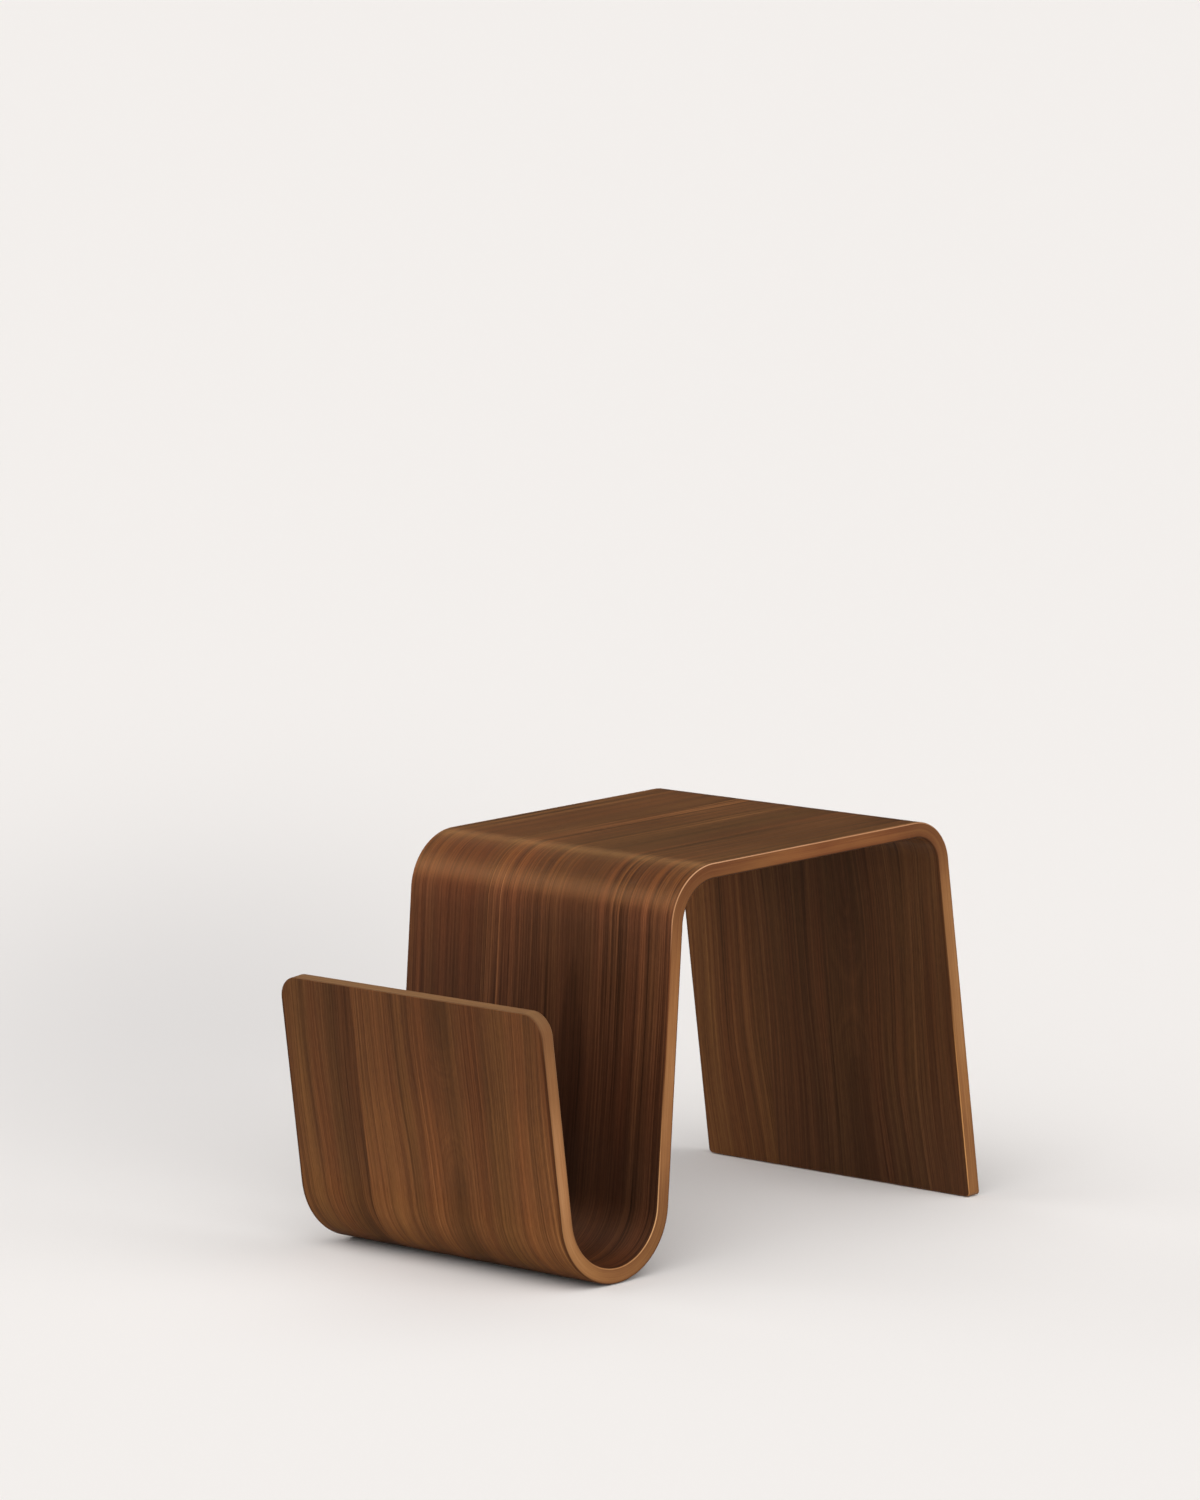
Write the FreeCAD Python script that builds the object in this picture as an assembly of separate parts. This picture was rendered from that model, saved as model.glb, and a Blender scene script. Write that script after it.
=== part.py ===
import FreeCAD, Part
import math
import os

# Bent-plywood side table with an integral magazine rack.
# One moulded ribbon: rack front panel, U bend, riser, left bend, flat top,
# right bend and splayed foot.  The ribbon is a stack of glued plies with a
# walnut veneer on each face.  It stands on four thin glides.
#
# Units are millimetres.  +X runs from the rack to the foot, +Y across the
# ribbon, +Z up.  The origin is the centre of the bounding box's underside.
# Every offset is measured from the board's mid-line.  A positive offset is
# on the show side: inside of the rack, table top, outer face of the foot.

V = FreeCAD.Vector

# ---- driving dimensions ------------------------------------------------
OVERALL_HEIGHT = 420.0      # floor to table top
WIDTH = 396.0               # across the ribbon (Y)
GLIDE_THICK = 1.0           # floor glide under the lowest line of the U bend
VENEER_THICK = 0.6          # walnut face veneer
PLY_THICK = 1.4             # one core ply
PLY_COUNT = 11              # odd, so the stack is balanced

RACK_LEAN = 5.3             # degrees the rack's front panel leans outwards
RISER_LEAN = 6.6            # degrees the riser leans towards the table top
FOOT_SPLAY = 5.4            # degrees the foot splays outwards
U_RADIUS = 70.0             # mid-line radii of the three bends
LEFT_RADIUS = 56.0
RIGHT_RADIUS = 41.0
RACK_STRAIGHT = 226.0       # straight run of the rack's front panel
TOP_STRAIGHT = 305.5        # flat run of the table top

RIM_CORNER = 25.0           # rounded corners of the rack's rim
FOOT_CORNER = 5.0           # small rounding at the foot's two corners
ARRIS = 1.2                 # round-over along every edge of the faces
FLOOR_SPLICE_Y = 88.5       # butt joint in the floor-side veneer
SHOW_SPLICE_Y = 83.0        # butt joint in the show-side veneer

GLIDE_LEN = 30.0            # along Y
GLIDE_WIDE_U = 14.0         # along X, under the U bend
GLIDE_WIDE_FOOT = 11.0      # along X, under the foot
GLIDE_INSET = 32.0          # glide centre in from the ribbon's side edge
GLIDE_CORNER = 2.5

# ---- derived -----------------------------------------------------------
BOARD = PLY_COUNT * PLY_THICK + 2.0 * VENEER_THICK
HALF = BOARD / 2.0
OVER = 4.0                  # how far the ply slabs run past the board's ends

a1 = math.radians(RACK_LEAN)
a2 = math.radians(RISER_LEAN)
a3 = math.radians(FOOT_SPLAY)

cu = (0.0, GLIDE_THICK + U_RADIUS + HALF)           # U bend centre
n1 = (-math.cos(a1), -math.sin(a1))                 # U centre to rack panel
d1 = (-math.sin(a1), math.cos(a1))                  # up the rack panel
n2 = (math.cos(a2), -math.sin(a2))                  # U centre to riser
d2 = (math.sin(a2), math.cos(a2))                   # up the riser
n3 = (math.cos(a3), math.sin(a3))                   # outwards from the foot
d3 = (math.sin(a3), -math.cos(a3))                  # down the foot

top_mid = OVERALL_HEIGHT - HALF                     # mid-line height of top
riser_len = (top_mid - LEFT_RADIUS - cu[1]
             + (U_RADIUS + LEFT_RADIUS) * math.sin(a2)) / math.cos(a2)
b0 = (cu[0] + U_RADIUS * n2[0], cu[1] + U_RADIUS * n2[1])
b1 = (b0[0] + riser_len * d2[0], b0[1] + riser_len * d2[1])
cl = (b1[0] + LEFT_RADIUS * n2[0], b1[1] + LEFT_RADIUS * n2[1])
cr = (cl[0] + TOP_STRAIGHT, top_mid - RIGHT_RADIUS)


def add(p, d, t):
    return (p[0] + d[0] * t, p[1] + d[1] * t)


def vec(p):
    return V(p[0], 0.0, p[1])


def arc(c, r, t0, t1):
    """Arc in the XZ plane from angle t0 to t1 (radians)."""
    q = [add(c, (math.cos(t), math.sin(t)), r) for t in (t0, 0.5 * (t0 + t1), t1)]
    return Part.Arc(vec(q[0]), vec(q[1]), vec(q[2])).toShape(), q[0], q[2]


def offset_path(off, over):
    """Edges of the ribbon's path at a side offset, rim to foot."""
    edges = []
    u_arc, u0, u1 = arc(cu, U_RADIUS - off, math.pi + a1, 2.0 * math.pi - a2)
    rim = add(u0, d1, RACK_STRAIGHT + over)
    l_arc, l0, l1 = arc(cl, LEFT_RADIUS + off, math.pi - a2, math.pi / 2.0)
    r_arc, r0, r1 = arc(cr, RIGHT_RADIUS + off, math.pi / 2.0, a3)
    drop = (r1[1] - GLIDE_THICK + over) / math.cos(a3)
    toe = add(r1, d3, drop)
    edges.append(Part.makeLine(vec(rim), vec(u0)))
    edges.append(u_arc)
    edges.append(Part.makeLine(vec(u1), vec(l0)))
    edges.append(l_arc)
    edges.append(Part.makeLine(vec(l1), vec(r0)))
    edges.append(r_arc)
    edges.append(Part.makeLine(vec(r1), vec(toe)))
    return edges, rim, toe


def slab(lo, hi, over=0.0, side=0.0):
    """Solid ribbon between two side offsets."""
    low, rim_l, toe_l = offset_path(lo, over)
    high, rim_h, toe_h = offset_path(hi, over)
    edges = low + high
    edges.append(Part.makeLine(vec(rim_l), vec(rim_h)))
    edges.append(Part.makeLine(vec(toe_l), vec(toe_h)))
    wire = Part.Wire(Part.__sortEdges__(edges))
    face = Part.Face(wire)
    face.translate(V(0.0, -WIDTH / 2.0 - side, 0.0))
    return face.extrude(V(0.0, WIDTH + 2.0 * side, 0.0))


def on_line(edge, p, d, tol=1e-3):
    """True if both ends of an edge lie on the line through p along d."""
    for v in edge.Vertexes:
        w = v.Point.sub(p)
        if w.cross(d).Length > tol:
            return False
    return True


# ---- the whole board, with its rounded corners and round-over -------------
board = slab(-HALF, HALF)

_, rim_a, toe_a = offset_path(HALF, 0.0)
_, rim_b, toe_b = offset_path(-HALF, 0.0)


def across(p, q, y):
    """The board's edges that cross its thickness at one end and one side."""
    start = V(p[0], y, p[1])
    way = V(q[0] - p[0], 0.0, q[1] - p[1])
    way.normalize()
    return [e for e in board.Edges if on_line(e, start, way)]


rim_edges = across(rim_a, rim_b, -WIDTH / 2.0) + across(rim_a, rim_b, WIDTH / 2.0)
board = board.makeFillet(RIM_CORNER, rim_edges)
toe_edges = across(toe_a, toe_b, -WIDTH / 2.0) + across(toe_a, toe_b, WIDTH / 2.0)
board = board.makeFillet(FOOT_CORNER, toe_edges)


def is_thickness(edge):
    """True for an edge that runs through the board's thickness."""
    if len(edge.Vertexes) != 2:
        return False
    mid = edge.valueAt(0.5 * (edge.FirstParameter + edge.LastParameter))
    return min(abs(offset_of(mid) - HALF), abs(offset_of(mid) + HALF)) > 0.5


def offset_of(p):
    """Side offset of a point, from the nearest run of the mid-line."""
    x, z = p.x, p.z
    best = None

    def keep(dist, off):
        nonlocal best
        if best is None or dist < best[0]:
            best = (dist, off)

    def straight(s, d, length, normal):
        t = (x - s[0]) * d[0] + (z - s[1]) * d[1]
        if -30.0 <= t <= length + 30.0:
            o = (x - s[0]) * normal[0] + (z - s[1]) * normal[1]
            gap = max(0.0, -t, t - length)
            keep(abs(o) + gap, o)

    def bend(c, r, sign, t0, t1):
        t = math.atan2(z - c[1], x - c[0])
        if t < t0 - 1e-6:
            t += 2.0 * math.pi
        if t0 - 1e-6 <= t <= t1 + 1e-6:
            o = sign * (math.hypot(x - c[0], z - c[1]) - r)
            keep(abs(o), o)

    u0 = add(cu, n1, U_RADIUS)
    straight(u0, d1, RACK_STRAIGHT, (-n1[0], -n1[1]))
    straight(b0, d2, riser_len, (-n2[0], -n2[1]))
    straight((cl[0], top_mid), (1.0, 0.0), TOP_STRAIGHT, (0.0, 1.0))
    r1 = add(cr, n3, RIGHT_RADIUS)
    straight(r1, d3, (r1[1] - GLIDE_THICK) / math.cos(a3), n3)
    bend(cu, U_RADIUS, -1.0, math.pi + a1, 2.0 * math.pi - a2)
    bend(cl, LEFT_RADIUS, 1.0, math.pi / 2.0, math.pi - a2)
    bend(cr, RIGHT_RADIUS, 1.0, a3, math.pi / 2.0)
    return best[1]


def spans_width(edge):
    """True for an edge that runs along Y inside a face, at a tangent seam."""
    p, q = edge.Vertexes[0].Point, edge.Vertexes[-1].Point
    if abs(p.x - q.x) > 1e-3 or abs(p.z - q.z) > 1e-3:
        return False
    if min(abs(p.x - e[0]) + abs(p.z - e[1]) for e in (rim_a, rim_b, toe_a, toe_b)) < 1e-2:
        return False
    return True


arris_edges = [e for e in board.Edges if not is_thickness(e) and not spans_width(e)]
board = board.makeFillet(ARRIS, arris_edges)


# ---- plies and veneers --------------------------------------------------
def layer(lo, hi):
    out = slab(lo, hi, OVER, 3.0).common(board)
    return out.Solids[0] if len(out.Solids) == 1 else out


def split(skin, y, name):
    """Two leaves of one face veneer, meeting edge to edge at y."""
    far = Part.makeBox(2000.0, 500.0, 1200.0, V(-700.0, y, -300.0))
    near = Part.makeBox(2000.0, 500.0, 1200.0, V(-700.0, y - 500.0, -300.0))
    parts[name + "_narrow_leaf"] = skin.common(far).Solids[0]
    parts[name + "_wide_leaf"] = skin.common(near).Solids[0]


parts = {}
face_lo = HALF - VENEER_THICK
split(layer(face_lo, HALF + 1.0), SHOW_SPLICE_Y, "veneer_show_side")
split(layer(-HALF - 1.0, -face_lo), FLOOR_SPLICE_Y, "veneer_floor_side")

for i in range(PLY_COUNT):
    hi = face_lo - i * PLY_THICK
    kind = "cross" if i % 2 == 0 else "long"
    parts["ply_%02d_%s_grain" % (i + 1, kind)] = layer(hi - PLY_THICK, hi)


# ---- floor glides ---------------------------------------------------------
def glide_blank(xc, yc, wide, high):
    b = Part.makeBox(wide, GLIDE_LEN, high, V(xc - wide / 2.0, yc - GLIDE_LEN / 2.0, 0.0))
    upright = [e for e in b.Edges
               if abs(e.Vertexes[0].Point.z - e.Vertexes[1].Point.z) > 0.5 * high]
    return b.makeFillet(GLIDE_CORNER, upright)


toe_x = 0.5 * (toe_a[0] + toe_b[0])
drum = Part.makeCylinder(U_RADIUS + HALF, 2.0 * WIDTH, V(cu[0], -WIDTH, cu[1]), V(0.0, 1.0, 0.0))
for side, sign in (("front", -1.0), ("back", 1.0)):
    yc = sign * (WIDTH / 2.0 - GLIDE_INSET)
    parts["glide_rack_" + side] = glide_blank(cu[0], yc, GLIDE_WIDE_U, 3.0).cut(drum).Solids[0]
    parts["glide_foot_" + side] = glide_blank(toe_x, yc, GLIDE_WIDE_FOOT, GLIDE_THICK)

# The blank above the drum's lowest line leaves only the thin curved pad.
for name in ("glide_rack_front", "glide_rack_back"):
    keep = Part.makeBox(60.0, 2.0 * WIDTH, cu[1], V(cu[0] - 30.0, -WIDTH, -1.0))
    parts[name] = parts[name].common(keep).Solids[0]

# ---- move the origin to the centre of the bounding box's underside ---------
box = board.optimalBoundingBox(False, False)
shift = V(-0.5 * (box.XMin + box.XMax), 0.0, 0.0)

os.makedirs("parts", exist_ok=True)
for name, shape in parts.items():
    shape.translate(shift)
    shape.exportStep("parts/%s.step" % name)
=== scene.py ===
import functools
import math

import bpy
import numpy as np
from mathutils import Matrix, Vector


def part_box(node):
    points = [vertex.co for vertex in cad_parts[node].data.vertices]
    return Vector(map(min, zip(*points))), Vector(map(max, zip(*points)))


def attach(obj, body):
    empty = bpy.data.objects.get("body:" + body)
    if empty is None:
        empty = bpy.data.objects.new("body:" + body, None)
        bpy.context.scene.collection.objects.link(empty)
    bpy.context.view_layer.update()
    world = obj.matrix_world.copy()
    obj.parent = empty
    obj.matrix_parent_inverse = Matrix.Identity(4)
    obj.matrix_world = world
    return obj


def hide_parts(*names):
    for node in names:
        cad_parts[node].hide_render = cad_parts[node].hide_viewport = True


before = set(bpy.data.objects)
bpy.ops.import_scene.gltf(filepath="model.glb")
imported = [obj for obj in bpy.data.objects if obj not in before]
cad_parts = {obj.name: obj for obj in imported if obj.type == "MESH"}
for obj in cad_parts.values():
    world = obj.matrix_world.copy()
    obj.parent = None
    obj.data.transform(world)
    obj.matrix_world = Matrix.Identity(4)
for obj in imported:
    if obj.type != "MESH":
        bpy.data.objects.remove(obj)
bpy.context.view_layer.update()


# ---------------------------------------------------------------- dimensions
# The board's construction, in metres, as the CAD has it.
MM = 0.001
HEIGHT, WIDTH, GLIDE = 0.420, 0.396, 0.001
VENEER, PLY, PLIES = 0.0006, 0.0014, 11
BOARD = PLIES * PLY + 2 * VENEER
HALF = BOARD / 2
A1, A2, A3 = (math.radians(a) for a in (5.3, 6.6, 5.4))
RU, RL, RR = 0.070, 0.056, 0.041
L_RACK, L_TOP = 0.226, 0.3055
R_RIM, R_FOOT, ARRIS = 0.025, 0.005, 0.0012
SPLICE_FLOOR, SPLICE_SHOW = 0.0885, 0.083

lo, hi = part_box("glide_rack_front")
U_AXIS = 0.5 * (lo.x + hi.x)          # the glide sits under the U bend's axis

CU = np.array([U_AXIS, GLIDE + RU + HALF])
N1, D1 = np.array([-math.cos(A1), -math.sin(A1)]), np.array([-math.sin(A1), math.cos(A1)])
N2, D2 = np.array([math.cos(A2), -math.sin(A2)]), np.array([math.sin(A2), math.cos(A2)])
N3, D3 = np.array([math.cos(A3), math.sin(A3)]), np.array([math.sin(A3), -math.cos(A3)])
TOP_MID = HEIGHT - HALF
L_RISER = (TOP_MID - RL - CU[1] + (RU + RL) * math.sin(A2)) / math.cos(A2)
B0 = CU + RU * N2
CL = B0 + L_RISER * D2 + RL * N2
CR = np.array([CL[0] + L_TOP, TOP_MID - RR])
R1 = CR + RR * N3
L_FOOT = (R1[1] - GLIDE) / math.cos(A3)
RUNS = [L_RACK, RU * (math.pi - A1 - A2), L_RISER, RL * (math.pi / 2 - A2), L_TOP,
        RR * (math.pi / 2 - A3), L_FOOT]
S = [0.0]
for run in RUNS:
    S.append(S[-1] + run)


def path(s):
    """Mid-line point, show-side normal and forward tangent in XZ at length s."""
    if s < S[1]:
        p = CU + RU * N1 + D1 * (S[1] - s)
        return p, -N1, -D1
    if s < S[2]:
        t = math.pi + A1 + (s - S[1]) / RU
        c = np.array([math.cos(t), math.sin(t)])
        return CU + RU * c, -c, np.array([-c[1], c[0]])
    if s < S[3]:
        return B0 + D2 * (s - S[2]), -N2, D2
    if s < S[4]:
        t = math.pi - A2 - (s - S[3]) / RL
        c = np.array([math.cos(t), math.sin(t)])
        return CL + RL * c, c, np.array([c[1], -c[0]])
    if s < S[5]:
        return np.array([CL[0] + s - S[4], TOP_MID]), np.array([0.0, 1.0]), np.array([1.0, 0.0])
    if s < S[6]:
        t = math.pi / 2 - (s - S[5]) / RR
        c = np.array([math.cos(t), math.sin(t)])
        return CR + RR * c, c, np.array([c[1], -c[0]])
    return R1 + D3 * (s - S[6]), N3, D3


@functools.lru_cache(maxsize=None)
def eased(s, reach=0.011):
    """The show-side normal, eased into and out of each bend."""
    total = np.zeros(2)
    for t in np.linspace(-1, 1, 15):
        total += math.cos(t * math.pi / 2) * path(s + t * reach)[1]
    return total / np.linalg.norm(total)


# --------------------------------------------------------- stations and mesh
def stations():
    """Rows along the ribbon: (kind, value). Corner rows carry their angle."""
    rows = [("rim", math.radians(a)) for a in np.linspace(0, 90, 13)]
    s0, s1 = R_RIM, S[7] - R_FOOT - 0.003
    marks = [s0, S[1], S[2], S[3], S[4], S[5], S[6], s1]
    counts = [6, 64, 6, 34, 6, 34, 8]
    for a, b, n in zip(marks[:-1], marks[1:], counts):
        if n > 10:
            ts = list(np.linspace(a, b, n + 1)[1:])
        else:
            # a flat run: close rows at both ends, where the bends ease in
            ends = [a + x for x in (0.003, 0.006, 0.009, 0.012)]
            ts = ends + list(np.linspace(a + 0.012, b - 0.012, n + 1)[1:])
            ts += [b - x for x in (0.009, 0.006, 0.003, 0.0)]
        rows += [("run", t) for t in ts]
    rows += [("toe", math.radians(a)) for a in np.linspace(90, 0, 9)]
    return rows


ROWS = stations()


def toe_length(off):
    """Where the level cut of the foot meets a layer at this side offset."""
    return S[6] + (CR[1] + (RR + off) * math.sin(A3) - GLIDE) / math.cos(A3)


def row_at(row, off, inset):
    """(s, half width, outward direction at the side edge) of one row."""
    kind, a = row
    if kind == "rim":
        return (R_RIM - (R_RIM - inset) * math.cos(a),
                WIDTH / 2 - R_RIM + (R_RIM - inset) * math.sin(a),
                (-math.cos(a), math.sin(a)))
    if kind == "toe":
        return (toe_length(off) - R_FOOT + (R_FOOT - inset) * math.cos(a),
                WIDTH / 2 - R_FOOT + (R_FOOT - inset) * math.sin(a),
                (math.cos(a), math.sin(a)))
    return a, WIDTH / 2 - inset, (0.0, 1.0)


def inset_of(off):
    """The round-over: how far in from the outline a side offset lies."""
    d = abs(off) - (HALF - ARRIS)
    if d <= 1e-9:
        return 0.0
    return ARRIS - math.sqrt(max(ARRIS * ARRIS - min(d, ARRIS) ** 2, 0.0))


def tilt_of(off):
    """Angle of the round-over's normal away from the board's edge."""
    d = abs(off) - (HALF - ARRIS)
    if d <= 1e-9:
        return 0.0
    return math.copysign(math.asin(min(d / ARRIS, 1.0)), off)


def layer_mesh(name, off_hi, off_lo, cut_lo=None, cut_hi=None, cols=12, levels=None):
    """A closed board layer between two side offsets.

    cut_lo and cut_hi are the Y of a straight butt joint, or None for the
    board's own outline."""
    if levels is None:
        levels = [off_hi, off_lo]
    nr, nc = len(ROWS), cols + 1
    verts, uv_face, uv_edge, vkey = [], [], [], []

    def column(w, k):
        left = -w if cut_lo is None else cut_lo
        right = w if cut_hi is None else cut_hi
        return left + (right - left) * k / cols

    def vertex(i, k, off):
        inset = inset_of(off)
        s, w, d = row_at(ROWS[i], off, inset)
        v = column(w, k)
        p, n, t = path(s)
        q = p + off * n
        verts.append((q[0], v, q[1]))
        uv_face.append((s, v))
        return len(verts) - 1, s, v

    def outward(i, k, off):
        """Outward direction in the board's surface for an edge vertex."""
        s, w, d = row_at(ROWS[i], off, inset_of(off))
        p, n, t = path(s)
        side = -1.0 if k == 0 else (1.0 if k == cols else 0.0)
        ends = -1.0 if i == 0 else (1.0 if i == nr - 1 else 0.0)
        return s, d, n, t, side, ends

    ids = {}
    for lev, off in enumerate(levels):
        full = lev in (0, len(levels) - 1)
        for i in range(nr):
            for k in range(nc):
                if full or i in (0, nr - 1) or k in (0, nc - 1):
                    ids[(lev, i, k)] = vertex(i, k, off)[0]

    faces, normals, edge_uv = [], [], []
    last = len(levels) - 1

    def n3(i, off, sign):
        n = eased(row_at(ROWS[i], off, inset_of(off))[0])
        return (sign * n[0], 0.0, sign * n[1])

    # the two broad faces
    for lev, sign in ((0, 1.0), (last, -1.0)):
        off = levels[lev]
        for i in range(nr - 1):
            for k in range(nc - 1):
                q = [(i, k), (i + 1, k), (i + 1, k + 1), (i, k + 1)]
                if sign < 0:
                    q = q[::-1]
                faces.append([ids[(lev, a, b)] for a, b in q])
                normals.append([n3(a, off, sign) for a, b in q])
                edge_uv.append([(row_at(ROWS[a], off, 0)[0], off) for a, b in q])

    # the outline, walked once round
    loop = [(0, k) for k in range(nc)] + [(i, nc - 1) for i in range(1, nr)]
    loop += [(nr - 1, k) for k in range(nc - 2, -1, -1)] + [(i, 0) for i in range(nr - 2, 0, -1)]

    def run_kind(a, b):
        if a[0] == 0 and b[0] == 0:
            return "rim"
        if a[0] == nr - 1 and b[0] == nr - 1:
            return "toe"
        return "right" if a[1] == nc - 1 else "left"

    def side_normal(cell, off, kind):
        i, k = cell
        s, w, d = row_at(ROWS[i], off, inset_of(off))
        p, n, t = path(s)
        if kind == "rim":
            out = np.array([-t[0], 0.0, -t[1]])
        elif kind == "toe":
            out = np.array([0.0, 0.0, -1.0])
        else:
            sgn = 1.0 if kind == "right" else -1.0
            cut = cut_hi if kind == "right" else cut_lo
            if cut is not None:
                return (0.0, sgn, 0.0)
            out = np.array([d[0] * t[0], sgn * d[1], d[0] * t[1]])
        a = tilt_of(off)
        m = math.cos(a) * out + math.sin(a) * np.array([n[0], 0.0, n[1]])
        m /= np.linalg.norm(m)
        return tuple(m)

    def along(cell, off, kind):
        """Length round the outline, so that the edge's grain follows it."""
        i, k = cell
        s, w, d = row_at(ROWS[i], off, 0.0)
        if kind in ("rim", "toe"):
            base = -3.0 if kind == "rim" else 4.0
            return base + column(w, k)
        if ROWS[i][0] == "rim":
            turn = ROWS[i][1]
            return R_RIM - R_RIM * (math.pi / 2 - turn)
        return s

    m = len(loop)
    for a in range(m):
        c0, c1 = loop[a], loop[(a + 1) % m]
        kind = run_kind(c0, c1)
        for lev in range(last):
            o0, o1 = levels[lev], levels[lev + 1]
            q = [(lev, c0), (lev, c1), (lev + 1, c1), (lev + 1, c0)]
            faces.append([ids[(l,) + c] for l, c in q])
            normals.append([side_normal(c, levels[l], kind) for l, c in q])
            edge_uv.append([(along(c, levels[l], kind), levels[l]) for l, c in q])

    me = bpy.data.meshes.new(name)
    me.from_pydata(verts, [], faces)
    me.validate()
    me.update()
    # outward winding
    bm_flip = signed_volume(verts, faces) < 0
    if bm_flip:
        faces = [f[::-1] for f in faces]
        normals = [n[::-1] for n in normals]
        edge_uv = [e[::-1] for e in edge_uv]
        me = bpy.data.meshes.new(name)
        me.from_pydata(verts, [], faces)
        me.update()
    ob = bpy.data.objects.new(name, me)
    bpy.context.scene.collection.objects.link(ob)
    ribbon = me.uv_layers.new(name="Ribbon")
    edge = me.uv_layers.new(name="Edge")
    li = 0
    for f, e in zip(faces, edge_uv):
        for v, x in zip(f, e):
            ribbon.data[li].uv = uv_face[v]
            edge.data[li].uv = x
            li += 1
    me.polygons.foreach_set("use_smooth", [True] * len(me.polygons))
    me.normals_split_custom_set([n for fn in normals for n in fn])
    me.update()
    return ob


def signed_volume(verts, faces):
    v = np.array(verts, float)
    total = 0.0
    for f in faces:
        a = v[f[0]]
        for j in range(1, len(f) - 1):
            total += np.dot(a, np.cross(v[f[j]], v[f[j + 1]]))
    return total / 6


# ------------------------------------------------------------------ materials
class Nodes:
    """Small helper for building a node tree."""

    def __init__(self, tree):
        self.t = tree
        self.x = 0

    def new(self, kind, **props):
        n = self.t.nodes.new(kind)
        self.x += 1
        n.location = ((self.x % 12) * 190, -(self.x // 12) * 260)
        for k, v in props.items():
            setattr(n, k, v)
        return n

    def put(self, socket, value):
        if isinstance(value, bpy.types.NodeSocket):
            self.t.links.new(value, socket)
        else:
            socket.default_value = value

    def math(self, op, a, b=None, c=None, clamp=False):
        n = self.new("ShaderNodeMath", operation=op, use_clamp=clamp)
        for s, v in zip(n.inputs, (a, b, c)):
            if v is not None:
                self.put(s, v)
        return n.outputs[0]

    def add(self, a, b):
        return self.math("ADD", a, b)

    def sub(self, a, b):
        return self.math("SUBTRACT", a, b)

    def mul(self, a, b):
        return self.math("MULTIPLY", a, b)

    def mad(self, a, b, c):
        return self.math("MULTIPLY_ADD", a, b, c)

    def vec(self, x, y, z=0.0):
        n = self.new("ShaderNodeCombineXYZ")
        for s, v in zip(n.inputs, (x, y, z)):
            self.put(s, v)
        return n.outputs[0]

    def noise(self, vector, detail=2.0, rough=0.5, scale=1.0, lac=2.0):
        n = self.new("ShaderNodeTexNoise", noise_dimensions="3D")
        self.put(n.inputs["Vector"], vector)
        n.inputs["Scale"].default_value = scale
        n.inputs["Detail"].default_value = detail
        n.inputs["Roughness"].default_value = rough
        n.inputs["Lacunarity"].default_value = lac
        return n.outputs[0]

    def split(self, v):
        n = self.new("ShaderNodeSeparateXYZ")
        self.put(n.inputs[0], v)
        return n.outputs[0], n.outputs[1], n.outputs[2]

    def ramp(self, fac, stops, mode="LINEAR"):
        n = self.new("ShaderNodeValToRGB")
        n.color_ramp.interpolation = mode
        el = n.color_ramp.elements
        while len(el) > 1:
            el.remove(el[-1])
        el[0].position = stops[0][0]
        el[0].color = rgba(stops[0][1])
        for p, c in stops[1:]:
            e = el.new(p)
            e.color = rgba(c)
        self.put(n.inputs[0], fac)
        return n.outputs[0]

    def smooth(self, x, a, b, lo=0.0, hi=1.0):
        n = self.new("ShaderNodeMapRange", interpolation_type="SMOOTHSTEP", clamp=True)
        self.put(n.inputs[0], x)
        for s, v in zip(n.inputs[1:5], (a, b, lo, hi)):
            s.default_value = v
        return n.outputs[0]

    def mix(self, fac, a, b, blend="MIX"):
        n = self.new("ShaderNodeMix", data_type="RGBA", blend_type=blend)
        self.put(n.inputs[0], fac)
        for s, v in ((n.inputs[6], a), (n.inputs[7], b)):
            if isinstance(v, tuple):
                v = rgba(v)
            self.put(s, v)
        return n.outputs[2]

    def grey(self, value):
        """A scalar as a colour."""
        n = self.new("ShaderNodeCombineColor")
        for s in n.inputs:
            self.put(s, value)
        return n.outputs[0]


def rgba(c):
    if isinstance(c, (int, float)):
        return (c, c, c, 1.0)
    return tuple(c) + (1.0,) if len(c) == 3 else tuple(c)


def srgb(r, g, b):
    """Linear colour of an 8-bit sRGB triple."""
    out = []
    for x in (r, g, b):
        x /= 255.0
        out.append(x / 12.92 if x <= 0.04045 else ((x + 0.055) / 1.055) ** 2.4)
    return tuple(out)


def uv_of(N, name):
    n = N.new("ShaderNodeUVMap", uv_map=name)
    s = N.new("ShaderNodeSeparateXYZ")
    N.t.links.new(n.outputs[0], s.inputs[0])
    return s.outputs[0], s.outputs[1]


def shader(mat, N):
    out = N.new("ShaderNodeOutputMaterial")
    b = N.new("ShaderNodeBsdfPrincipled")
    N.t.links.new(b.outputs[0], out.inputs[0])
    return b


LACQUER_TINT = (1.0, 0.46, 0.20)


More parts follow.
